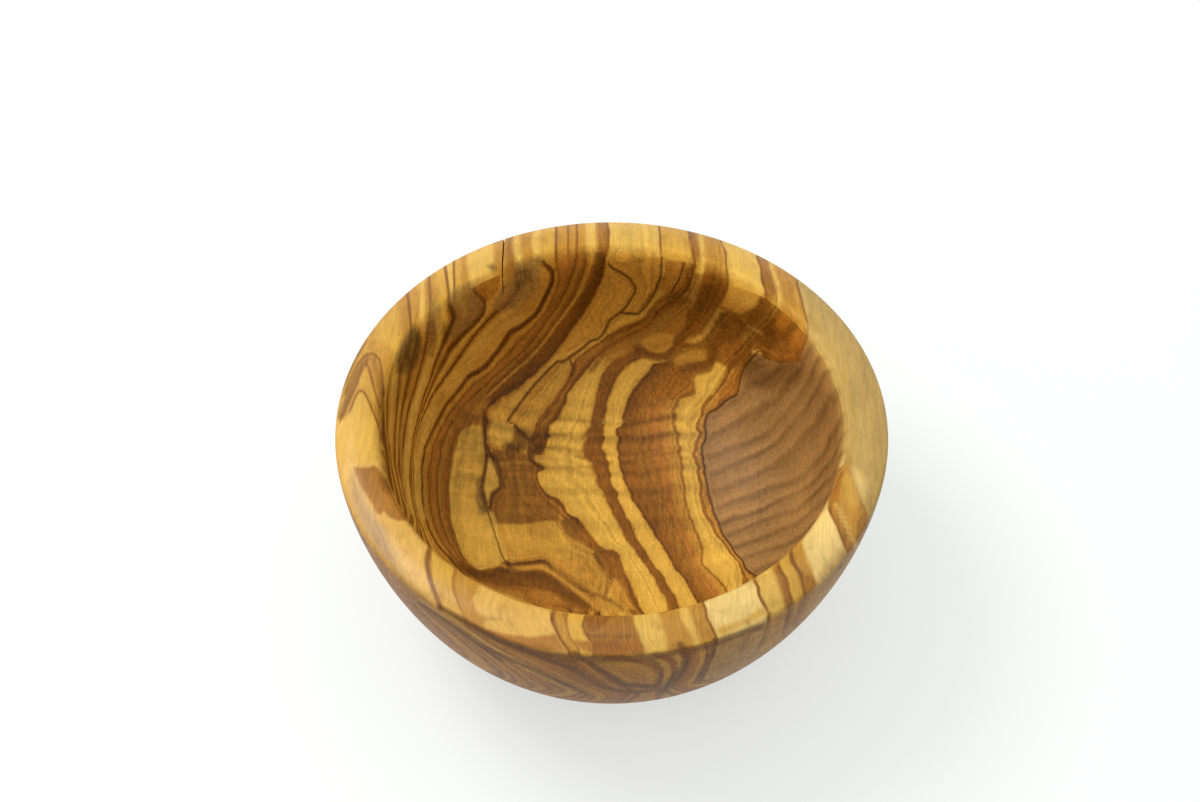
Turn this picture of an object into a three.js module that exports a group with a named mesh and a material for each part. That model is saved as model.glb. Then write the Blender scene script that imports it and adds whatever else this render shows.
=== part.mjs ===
// A wooden bowl turned from one block: a deep round body, a thick rim with a bevelled edge, a plain flat base.
// Millimetres, +Z up. The origin is the middle of the base, on the surface that the bowl stands on.
import * as THREE from "three";

// Overall sizes
const RIM_DIAMETER = 130; // widest point, just under the rim's outer edge
const HEIGHT = 56; // base to the land on top of the rim
const BASE_DIAMETER = 74; // flat that the bowl stands on, out to the corner that its edge is rounded from
const FLOOR_THICKNESS = 10; // wood under the middle of the inside

// Rim, from its inner edge to its outer edge
const RIM_WIDTH = 11.4;
const BEVEL_WIDTH = 3.8; // outer part of the rim, which slopes down from the land
const BEVEL_DROP = 1.6;

// Lip, where the land rolls over into the inner wall: the length taken off the land, and down the wall
const LIP_WIDTH = 3;
const LIP_DEPTH = 9;

// Edges eased by sanding, as the length taken off each side of the corner
const RIDGE_EASE = 2.4; // soft line between the land and the bevel
const OUTER_EDGE_EASE = 0.5;
const BASE_EDGE_EASE = 3;

// Sweep of the two walls
const OUTER_DROP = 9; // pull of the outer wall straight down from the rim
const BASE_ANGLE = THREE.MathUtils.degToRad(28); // slope of the outer wall where it meets the base
const BASE_SWEEP = 20; // pull of the outer wall up that slope
const INNER_DROP = 22; // pull of the inner wall straight down from the lip
const FLOOR_SPREAD = 6; // how much further than the base the level pull of the floor reaches

// Fineness of the turned surface
const TURN_STEPS = 96;
const WALL_STEPS = 14;
const EASE_STEPS = 3;
const LIP_STEPS = 6;

const rimRadius = RIM_DIAMETER / 2;
const baseRadius = BASE_DIAMETER / 2;
const openingRadius = rimRadius - RIM_WIDTH;
const landWidth = RIM_WIDTH - BEVEL_WIDTH;

const point = (radius, height) => new THREE.Vector2(radius, height);

// The point at a given length from one point towards another.
function towards(from, to, length) {
  return to.clone().sub(from).setLength(length).add(from);
}

// A corner eased by a length on each side, the same on both unless the second is given.
function easedCorner(before, corner, after, ease, easeAfter = ease) {
  return new THREE.QuadraticBezierCurve(
    towards(corner, before, ease),
    corner,
    towards(corner, after, easeAfter),
  );
}

// Half of the bowl's section, from the middle of the base up and round the rim to the middle of the floor.
function turnedSection() {
  const baseMiddle = point(0, 0);
  const baseEdge = point(baseRadius, 0);
  const outerEdge = point(rimRadius, HEIGHT - BEVEL_DROP);
  const ridge = point(openingRadius + landWidth, HEIGHT);
  const innerEdge = point(openingRadius, HEIGHT);
  const floorMiddle = point(0, FLOOR_THICKNESS);

  // An ease is no longer than half of the shortest side that it takes from.
  const bevelLength = outerEdge.distanceTo(ridge);
  const outerEase = Math.min(OUTER_EDGE_EASE, bevelLength / 2);
  const ridgeEase = Math.min(RIDGE_EASE, landWidth / 2, bevelLength / 2);
  const lipWidth = Math.min(LIP_WIDTH, landWidth / 2);

  const upTheWall = point(Math.cos(BASE_ANGLE), Math.sin(BASE_ANGLE));
  const outsideLow = baseEdge.clone().addScaledVector(upTheWall, BASE_EDGE_EASE);
  const outsideHigh = point(rimRadius, outerEdge.y - outerEase);
  const insideHigh = point(openingRadius, HEIGHT - LIP_DEPTH);

  const outsideWall = new THREE.CubicBezierCurve(
    outsideLow,
    outsideLow.clone().addScaledVector(upTheWall, BASE_SWEEP),
    point(rimRadius, outsideHigh.y - OUTER_DROP),
    outsideHigh,
  );
  const insideWall = new THREE.CubicBezierCurve(
    insideHigh,
    point(openingRadius, insideHigh.y - INNER_DROP),
    point(baseRadius + FLOOR_SPREAD, FLOOR_THICKNESS),
    floorMiddle,
  );

  return [
    baseMiddle,
    ...easedCorner(baseMiddle, baseEdge, outsideLow, BASE_EDGE_EASE).getPoints(EASE_STEPS),
    ...outsideWall.getPoints(WALL_STEPS).slice(1, -1),
    ...easedCorner(outsideHigh, outerEdge, ridge, outerEase).getPoints(EASE_STEPS),
    ...easedCorner(outerEdge, ridge, innerEdge, ridgeEase).getPoints(EASE_STEPS),
    ...easedCorner(ridge, innerEdge, insideHigh, lipWidth, LIP_DEPTH).getPoints(LIP_STEPS),
    ...insideWall.getPoints(WALL_STEPS).slice(1),
  ];
}

// The lathe turns about Y, so the bowl is stood up on Z.
function turnedBowl() {
  const oiledWood = new THREE.MeshStandardMaterial({
    color: 0xb5864f,
    roughness: 0.45,
    metalness: 0,
  });
  const bowl = new THREE.Mesh(new THREE.LatheGeometry(turnedSection(), TURN_STEPS), oiledWood);
  bowl.name = "bowl";
  bowl.rotation.x = Math.PI / 2;
  return bowl;
}

const woodenBowl = new THREE.Group();
woodenBowl.add(turnedBowl());

export default woodenBowl;
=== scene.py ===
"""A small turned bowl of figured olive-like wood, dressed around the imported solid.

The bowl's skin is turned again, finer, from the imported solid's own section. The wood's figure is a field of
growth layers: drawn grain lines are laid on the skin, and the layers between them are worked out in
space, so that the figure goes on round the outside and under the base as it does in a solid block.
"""

import math

import bpy
import numpy as np
from mathutils import Matrix, Vector
from mathutils.bvhtree import BVHTree


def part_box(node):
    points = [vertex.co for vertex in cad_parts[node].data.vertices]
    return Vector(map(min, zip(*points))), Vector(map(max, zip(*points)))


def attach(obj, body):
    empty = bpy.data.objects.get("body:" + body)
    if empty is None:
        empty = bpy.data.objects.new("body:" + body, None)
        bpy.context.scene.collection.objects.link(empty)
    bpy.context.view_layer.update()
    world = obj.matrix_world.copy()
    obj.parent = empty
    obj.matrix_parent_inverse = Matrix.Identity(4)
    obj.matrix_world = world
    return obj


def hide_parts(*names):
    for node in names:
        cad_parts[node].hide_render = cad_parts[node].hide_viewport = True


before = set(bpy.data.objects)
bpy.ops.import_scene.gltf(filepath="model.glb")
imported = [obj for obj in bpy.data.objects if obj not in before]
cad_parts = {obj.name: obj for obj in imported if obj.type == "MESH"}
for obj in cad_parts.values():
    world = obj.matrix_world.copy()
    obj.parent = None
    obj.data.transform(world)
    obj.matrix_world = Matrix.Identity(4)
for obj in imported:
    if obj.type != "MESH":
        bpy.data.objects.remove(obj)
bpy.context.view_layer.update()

MM = 0.001
TINY = 1e-6

# The photograph's size in pixels, and the camera that took it
PHOTO_WIDTH = 1200
PHOTO_HEIGHT = 802
SENSOR_WIDTH = 36.0
LENS = 70.54
CAMERA_DISTANCE = 552.5 * MM
CAMERA_ELEVATION = math.radians(51.38)
CAMERA_YAW = -0.0050
CAMERA_PITCH = 0.0074
CAMERA_ROLL = -0.0060
CAMERA_CLIP = 10.0 * MM

# How finely the skin is turned, and how deep the parts of it are that belong to the rim and the base
SEGMENTS = 420
SECTION_STEPS = 24
INSIDE_STEP = 0.72 * MM
RIM_STEP = 0.45 * MM
OUTSIDE_STEP = 0.95 * MM
BASE_STEP = 3.0 * MM
RIM_DEPTH = 4.0 * MM
BASE_DEPTH = 0.3 * MM

# How the inside passes into the rim and the rim into the outside, along the section
INNER_EDGE_INSET = 2.6 * MM
INNER_EDGE_SOFTNESS = 4.5 * MM
OUTER_EDGE_SOFTNESS = 2.0 * MM
POLISH_RISE = 2.0 * MM
# How far below and above the inner edge the band reaches where the top of the inner wall gets painted light
LIP_BELOW = 9.0 * MM
LIP_ABOVE = 3.0 * MM

# A drying crack over the rim at the back, along the grain: where it is, half its width, and where it ends
CRACK_ACROSS = -27.3 * MM
CRACK_HALF = 0.2 * MM
CRACK_SHOULDER = 2.5
CRACK_LOWEST = 47.3 * MM
CRACK_FADE = 3.5 * MM
CRACK_LEAD = 7.0 * MM
CRACK_DEPTH = 0.42
CRACK_HEART = (59.8 * MM, 50.0 * MM)
CRACK_COLUMNS = 12

# How the drawn grain lines become a field
LINE_STEP = 7.0
LINE_BREAK = 8.0 * MM
MIDWAY_LEAST = 1.6 * MM
MIDWAY_MOST = 14.0 * MM
KERNEL_SOFTNESS = 0.5 * MM
FIELD_SMOOTHING = 0.02 * MM
FIELD_CHUNK = 8000
MOST_PITCH = 1.6

# Soft light, brightest from the back on the left, and a lamp there
DOME_FROM = -0.4
DOME_DARK = 0.42
DOME_BRIGHT = 0.95
DOME_WAY = Vector((-0.3, 0.3, 0.9)).normalized()
KEY_SIZE = 0.5
KEY_POWER = 4.2
KEY_PLACE = Vector((-0.5, 0.25, 0.8))
KEY_TARGET = Vector((0.0, 0.0, 0.03))

# The floor's colour as it is seen and as it throws light back, and how much of it is plain white when seen
WHITE = (1.0, 1.0, 1.0, 1.0)
FLOOR_SIZE = 6.0
FLOOR_SEEN = (0.972, 1.0, 0.982, 1.0)
FLOOR_BOUNCE = (0.38, 0.38, 0.38, 1.0)
FLOOR_GLOW = 0.6

# Tones of the wood, as sRGB
TONES = {
    "cream": (252, 214, 128),
    "pale": (235, 188, 86),
    "gold": (228, 178, 72),
    "peach": (234, 182, 86),
    "straw": (221, 168, 64),
    "honey": (203, 145, 52),
    "tan": (173, 115, 38),
    "brown": (146, 91, 25),
    "umber": (101, 61, 16),
    "amber": (177, 111, 38),
    "rust": (166, 103, 26),
    "stain": (80, 58, 27),
    "olive": (160, 120, 60),
    "bark": (120, 74, 20),
    # Near black, painted into the crack as shade
    "pitch": (34, 20, 6),
    "earth": (170, 107, 46),
    "plain": (203, 165, 88),
    "buff": (170, 127, 68),
    "dusk": (164, 120, 66),
}

# Ripples across the grain: how light they are at each distance from the bowl's middle, back being positive
RIPPLES = [
    (-46.0, 0.5), (-20.0, 0.5), (-14.0, 0.42), (-10.0, 0.55), (-6.0, 0.42), (-2.0, 0.58), (2.7, 0.3),
    (5.5, 0.58), (8.0, 0.48), (10.2, 0.56), (12.8, 0.25), (14.6, 0.55), (16.6, 0.62), (18.6, 0.2),
    (20.0, 0.5), (20.9, 0.35), (22.2, 0.66), (23.8, 0.32), (25.2, 0.62), (27.6, 0.1), (28.9, 0.6),
    (30.4, 0.75), (32.0, 0.35), (34.0, 0.62), (36.0, 0.4), (38.5, 0.58), (42.0, 0.42), (46.0, 0.5),
]

# Drawn lines are rows of a table: names and numbers, and then the photograph's pixels that the line passes

# Grain lines from the back to the front, each with its layer's level
GRAIN = """
left wall 1: 6: 391,350 385,370 383,400 384,430 389,460
left wall 2: 7: 398,350 390,375 387,400 387,430 391,465
left wall 3: 8.5: 408,345 400,370 395,430 395,465 400,488
left wall 4: 10: 418,335 402,410 399,440 399,470 405,498
left wall 5: 11: 427,340 423,360 408,410 404,435 402,470 408,500
left wall light: 12: 437,330 413,410 406,470 409,500
left wall 6: 14: 445,258 446,272 449,285 450,311 454,318 436,360 431,378 424,395 414,435 410,470 411,500
    417,522
left wall 7: 17: 468,262 477,297 484,303 480,318 470,327 450,350 433,383
left wall 8: 20: 518,265 518,290 512,300 505,308 497,312 478,331 432,396 421,420 416,437 413,455 414,500
    420,522
left wall 9: 25: 524,237 529,256 540,260 552,270 553,278 549,290 538,312 520,328 511,331 503,345 485,368
    470,375 455,395 447,403 425,445 421,470 422,500 424,514 429,529 436,543
left wall 10: 27: 557,232 556,268 559,280 556,292 550,305 541,318
left wall 11: 29: 577,230 576,265 566,290 558,305 530,345 470,400 450,425 441,445 437,475 437,500 440,518
    447,539 458,556 470,570 484,579 530,592 558,604
left pale patch, left edge: 32: 587,230 586,264 581,283 573,299 543,341 531,354 484,398 470,415 459,436
    452,465 449,485 449,500 451,520 456,537 463,557 470,565 480,571 497,567 515,578 530,571 545,572 560,578
    590,602
dark band, left edge: 35: 597,226 597,250 595,262 584,291 537,354 487,398 482,409 484,460 482,488 488,513
    500,552 505,563 510,568 543,563 547,568 585,595
dark band, right edge: 37: 607,226 608,250 603,277 587,309 552,358 522,385 494,403 486.5,411 487,445 497,468
    501,482 500,490 494,496 491,511 502,549 507,560 511,564 543,559 587,591
hook: 42: 612,226 613,245 609,259 612,268 630,279 635,286 635,292 626,307 610,320 603,334 598,339 590,341
    584,347 563,362 558,361 543,375 530,390 512,415 511,425 518,440 524,480 530,497 540,510 553,518 573,545
    588,553 605,577 606,588
line beside the hook: 47: 659,226 664,270 661,282 656,292 645,308 638,314
second dark band, left edge: 50: 689,231 691,245 688,270 683,281 677,289 658,300 643,318 609,334 575,359
    564,387 541,417 535,430 528,440 527,455 536,492 546,503 557,511 576,535 598,553 606,562 611,588 617,600
    625,607
central pale band, left edge: 53: 696,234 696,265 693,280 688,291 680,300 668,306 660,314 652,326 614,345
    603,353 594,362 575,383 568,395 560,415 553,423 547,435 543,455 535,455 532,459 537,464 545,466 537,477
    543,493 559,499 569,515 577,519 598,545 604,550 616,551 639,606
brown streak, left edge: 59: 705,240 705,270 698,300 692,313 682,322 670,329 626,351 613,361 601,375 590,428
    586,435 583,452 590,460 598,482 616,520 632,547 650,570 667,601
first pale streak, left edge: 62: 725,248 728,272 727,287 716,308 699,332 689,343 676,353 660,357 645,357
    630,363 617,375 610,395 606,402 602,447 604,455 609,463 609,475 612,485 632,530 648,558 662,575 678,604
first pale streak, right edge: 66: 762,262 766,290 757,302 720,332 708,345 700,360 680,362 668,361 655,364
    648,373 640,380 634,390 624,412 622,425 618,430 617,445 621,470 630,495 697,600
line in the brown: 69.5: 660,505 682,553 700,585
second pale streak, left edge: 74: 771,268 773,285 772,298 764,312 729,350 717,361 697,374 697,393 690,397
    681,398 675,412 678,427 687,503 691,518 699,535 703,550 703,563 727,588
second pale streak, right edge: 77: 777,272 780,304 774,318 727,368 713,388 702,408 700,418 696,426 698,433
    695,440 692,455 697,470 701,503 705,518 726,548 737,560 743,575
grey wood, left edge: 81: 798,284 803,300 808,335 798,361 785,364 770,361 758,354 750,360 742,372 737,395
    727,400 716,410 708,413 705,430 706,440 702,447 707,485 714,512 723,535 731,545 735,553 742,560 746,570
    755,575
grey wood, middle: 95: 795,395 785,430 780,470 778,510 772,545
grey wood, right: 105: 822,385 826,420 825,460 815,500 800,535
right rim, inside: 112: 838,365 850,400 855,440 850,470
right rim, outside: 122: 862,345 880,385 887,425 886,465
back right rim: 89: 820,298 826,330
outside 1: 3.5: 352,515 365,540 385,568 405,592
outside 2: 6: 372,550 395,581 420,605 445,627 495,667
outside 3: 9: 425,603 530,681
outside 4: 14: 440,606 462,624 490,644 580,692
outside 5: 25: 467,624 515,652 598,691
outside 6: 35: 580,659 620,687 637,693
outside 7: 50: 604,657 630,661 648,666 660,674 658,690
outside 8: 66: 668,647 680,652 686,660 682,672 670,688
outside 9: 77: 703,641 706,652 702,668 692,684
outside 10: 81: 717,640 716,650 703,680
outside 11: 92: 770,618 760,645
"""
# Dark ripples of the grey wood in their order
GREY_RIPPLES = """
0: 740,396 752,385 780,368 790,360
1: 690,448 710,437 738,425 762,410 783,392 797,372
2: 706,457 750,444 768,434 797,402 808,384 813,372
3: 710,474 727,469 752,458 772,446 805,412 811,403 823,376
4: 709,493 725,489 760,473 797,448 813,430 829,402
5: 714,509 790,484 808,472 820,458 837,430
6: 722,524 748,516 790,498 805,489 818,478 828,465
7: 728,536 763,521 797,510 813,495
8: 735,548 775,534 795,524 812,511
9: 742,560 760,553 783,547 800,537 815,523
"""

# Patches on the inside that the layers alone don't give, with their tones: the pixels round each one.
# The ground and umber on the inner wall at the front are dark wood and partly painted shade under the front
# rim
INSIDE_PATCHES = """
buff: right: 832,330 806,340 820,356 830,379 836,402 839,425 837,446 833,461 862,462 868,420 858,370
ground: back wall, right: 806,332 800,362 770,362 757,352 748,360 740,372 716,362 711,373 693,376 690,367
    672,366 664,360 655,362 640,358 632,350 620,350 606,357 596,370 588,374 594,360 606,348 640,329 655,317
    668,303 684,296 692,285 694,272 728,280 728,287 775,300 800,318
ground: front wall: 594,610 550,606 510,595 490,587 470,576 456,566 462,556 470,564 490,573 495,567 500,565
    510,571 525,572 532,570 545,573 553,577 578,600
tan: above the left patch: 484,393 490,400 484,414 482,424 460,431 452,418 468,402
tan: light wedge: 690,312 686,325 680,336 674,342 664,330 672,322
tan: below the second band: 600,372 606,352 622,346 636,344 634,350 608,364
tan: back wall, right: 689,262 686,280 678,290 664,296 660,288 664,274 665,260
tan: front left: 566,605 550,605 536,600 526,594 536,590 550,592 560,598
honey: right of the dark block: 760,296 757,305 742,314 722,306 729,286 745,290
honey: lens: 640,343 650,336 662,332 674,336 672,346 664,353 650,352
honey: lower lens: 707,351 706,360 676,366 673,360 680,354 695,350
honey: small lens: 706,336 700,342 692,344 688,342 698,335
honey: heart: 552,518 535,521 522,521 522,514 532,508 545,511
honey: back wall: 558,354 597,296 612,258 660,258 661,280 652,298 636,313 618,318 606,330 570,352
honey: front strip: 619,610 597,611 550,573 540,569 518,571 512,566 544,564 570,584 600,601 607,602
honey: front: 548,562 585,555 594,560 602,572 605,585 604,597 592,594 577,587 562,577
honey: front, between the lines: 634,609 623,609 611,590 612,578 617,580
amber: block: 772,360 768,346 780,341 790,332 800,330 806,340 803,352 798,362
amber: under the fold: 748,345 730,366 722,362 716,355 722,345 735,335
amber: beside the grey wood: 714,405 722,388 739,365 745,361 738,395 725,398
rust: back right: 791,320 787,329 779,330 774,324 776,316 784,313
rust: beside the crack: 486,303 478,296 473,279 482,272 492,268 500,272 500,286 494,297
rust: brown zone: 646,398 655,380 672,366 690,367 696,376 692,394 678,400 660,400
brown: heart: 560,520 520,524.5 494,524 491,513 494,498 502,488 492,449 503,450 513,445 530,456 535,466
    534,476 537,490 547,502 558,510
brown: front diagonal: 559,520 569,517 580,524 600,546 606,550 597,553 574,541 565,533
brown: front: 590,553 600,549 614,551 620,560 625,572 620,579 612,577
gold: island: 488,507 484,488 487,459 490,457 496,471 499.5,486 491,492
gold: second patch: 513,424 514,430 509,440 500,446 491,441 487,434 494,420 500,423
gold: left patch: 481,425 484,440 484,460 481,478 482,490 486,505 494,515 500,530 509,560 497,566 480,570
    470,564 462,553 456,537 451,520 449,485 455,448 461,431 472,425
gold: second streak: 727,369 714,394 700,398 696,390 693,377 711,373 716,362
umber: dark block: 727,284 727,292 714,310 700,312 692,308 699,297 704,282
umber: front wall: 594,608 578,606 550,590 516,587 480,580 462,572 450,560 446,548 455,558 466,566 478,571
    492,573 498,567 512,570 545,571
umber: fold: 716,326 722,313 730,310 738,316 744,324 738,326 730,321 724,330
umber: beside the glint: 770,350 760,345 750,335 745,325 748,315 756,306 760,298 768,300 774,310 772,325
    778,340
umber: claw: 498,447 512,442 515,434 514,424 520,427 529,435 538,432 547,421 545,448 541,455 522,450 505,450
umber: left spot: 443,322 450,326 453,332 443,342 441,332
stain: beside the island: 481,478 487,513 481,514 476,500 475,482
"""
# Patches that lie over both the inside and the rim
EDGE_PATCHES = """
olive: outlined: 447,339 454,318 453,309 448,304 449,294 455,286 470,281 474,290 484,299 485,305 483,314
    473,326
olive: left of the outlined: 430,347 427,326 429,302 437,297 441,310 440,326 436,343
olive: beside the crack: 492,306 500,288 516,264 532,258 541,266 540,282 530,298 518,308 502,314
stain: left: 414,324 421,336 422,351 416,367 407,375 397,372 397,355 402,340
stain: edge: 516,292 515,285 520,278 519,270 525,266 531,270 531,279
stain: spot: 487,266 493,264 497,268 492,272
"""
# Patches on the rim and the outside
RIM_PATCHES = """
plain: right: 815,282 900,330 900,520 872,512 864,496 850,458 838,462 826,470 812,440 812,330
tan: arch: 388,455 374,385 368,364 362,366 350,402 344,404 357,366 365,355 374,354 381,362
tan: wedge, left: 849,556 834,516 830,500 833,486 838,474 846,468 837,497 855,547
tan: wedge, right: 866,511 868,524 861,540 854,547 857,532 857,522
tan: front block, below: 806,593 801,578 812,574 817,585
honey: left: 384,380 381,362 370,351 368,342 382,338 394,350 390,372
honey: arches: 389,462 378,424 370,404 362,390 356,394 350,412 341,420 352,380 360,361 368,353 378,357
    382,372 386,440
honey: front left: 458,597 470,600 486,622 476,622 464,617
amber: front bevel: 462,617 480,627 500,633 530,637 556,634 566,651 540,650 515,644 490,635
amber: front, below: 644,651 600,655 582,650 572,640 588,641 600,638 641,641
amber: wedge: 841,474 838,502 832,502 831,490 836,476
rust: left: 353,467 368,468 374,465 380,470 392,487 411,520 398,521 388,517 384,511 381,515 376,513 371,502
    361,487
brown: left: 380,474 387,481 395,494 390,496 382,490
brown: front: 632,611 622,616 610,618 604,625 594,632 588,630 586,619 590,611
straw: left, back: 398,322 397,336 392,348 384,344 379,336 380,328 390,322
straw: front right, below: 769,614 718,637 716,628 740,621 763,607
straw: wedge: 847,470 852,478 860,505 850,508 844,495 842,480
straw: arch, core: 374,402 366,391 358,388 361,372 365,365 373,388
gold: left: 389,466 375,462 352,465 341,464 338,440 343,422 351,412 358,393 365,398 372,413 384,445
cream: right: 851,468 858,470 866,480 868,492 864,502 860,497
dusk: left: 440,607 420,601 400,582 380,556 362,526 351,500 352,470 355,482 384,530 399,567 410,582
dusk: front right: 818,579 832,562 838,552 845,548 847,556 826,575
"""

# Segments across the rim, from the left: a tone, the dark line where it begins with half the line's width,
# and the edge there. Edges run from the outside inwards at the back, and the other way at the front
BACK_RIM = """
straw: no line: 384,310 396,326
honey: no line: 397,298 401,324
honey: brown 1.5: 407,290 411,322
pale: no line: 419,280 420,316
honey: no line: 424,277 425,312
honey: brown 1.2: 429,273 431,318
straw: no line: 435,268 436,305
pale: brown 1.6: 444,262 449,292
straw: brown 1: 454,257 454,284
honey: no line: 461,254 461,280
pale: no line: 468,250 466,262 469,276
honey: no line: 493,240 494,266
tan: no line: 506,236 506,262
pale: no line: 514,234 512,248 516,259
honey: no line: 520,233 520,246 523,257
pale: no line: 534,230 531,240 533,252
straw: no line: 540,228 540,252
honey: brown 1.2: 556,225 556,254
honey: brown 0.9: 568,223 568,252
honey: brown 1.2: 577,222 577,253
pale: no line: 586,221 586,252
tan: no line: 596,220 597,250
pale: brown 1.2: 606,220 609,232 608,252
straw: brown 1: 659,224 662,262
tan: brown 2: 689,231 695,264
pale: no line: 698,234 701,262
honey: no line: 703,236 705,248 705,264
pale: brown 0.8: 721,243 726,252 726,262 728,275
tan: brown 1.4: 757,258 761,266 762,280 766,292
pale: no line: 769,266 775,283 778,298
honey: no line: 774,268 780,284 782,298
plain: brown 0.8: 797,284 808,325
"""
FRONT_RIM = """
peach: no line: 385,520 400,600
straw: brown 3.6: 432,544 428,553 427,565 430,580 440,605
honey: tan 1.8: 456,568 453,578 453,590 466,620
peach: no line: 480,586 472,600 476,612 484,624
honey: brown 2.3: 556,607 552,615 552,621 560,638 570,652
straw: tan 1.3: 567,608 566,620 567,630 571,639 579,648
tan: brown 1.8: 590,611 585,617 583,626 586,634 594,645
pale: no line: 633,612 634,622 644,648
honey: no line: 658,610 668,647
pale: no line: 679,606 681,618 694,640
honey: no line: 687,605 694,626 700,638
cream: brown 1.2: 702,600 706,610 707,618 717,637
pale: brown 1.7: 754,580 758,587 759,595 769,614
tan: no line: 772,568 785,604
straw: brown 1.6: 778,564 781,572 786,578 788,590 792,601
honey: brown 2.2: 791,553 793,562 800,572 805,592
cream: no line: 803,545 817,585
honey: brown 1.6: 847,464 838,471 833,481 830,494 829,510 837,525 849,553
plain: tan 1: 849,465 853,480 866,512 864,530 858,548
"""
RIM_RUNS = {"back_run": BACK_RIM, "front_run": FRONT_RIM}

# Thin dark lines, with half their width in pixels
INSIDE_STROKES = """
hook: 1.2: 609,264 612,268 622,273 630,279 635,286 635,292 626,307 620,313 610,320 603,334 598,339 590,341
    584,347 563,362 558,361 549,369 530,390 508,420
beside the hook: 1.3: 662,250 661,276 656,290 646,306 638,314 622,313
back wall: 1: 684,262 682,272 678,282 672,292
left wall: 1.5: 541,258 545,265 553,270 553,282 535,316 520,328 510,332 497,352 480,371 470,376
below the hook: 1: 570,360 574,370 572,374
island: 1.5: 487,457 492,454 496,461 502,481 502,487 498,491.5 493,495 488.5,512 485,503 482,488 487,457
above the claw: 1.3: 515,426 519,431 542,451 546,441 548,428
above the island: 0.9: 484,411 485,445 487,456
below the island: 0.6: 488,512 501,553 506,563
claw: 1.2: 541,454 531,451 529,455 532,462 540,467
stain, left: 1.7: 470,281 455,286 448,296 448,304 453,309 454,318 444,342
stain, right: 1.5: 471,281 475,292 484,300 485,306 483,314 473,326 460,337 449,350
grey wood: 0.8: 757,353 750,360 742,372 737,395 727,400 716,410 708,413 706,420 705,430 706,440 702,447
    703,460 707,485 714,512 720,525 723,535 731,545 735,553 742,560 746,570 755,575
"""
RIM_STROKES = """
arch, inner: 1: 340,421 346,406 357,384 361,370 365,362 368,366 379,406
arch, patch: 0.9: 350,411 357,393 362,390 366,395 378,424 388,462
arch, outer: 1.1: 345,394 350,380 357,365 365,355 373,353 380,360 382,374 383,396
left edge: 1.6: 342,388 358,354 366,340
"""

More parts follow.
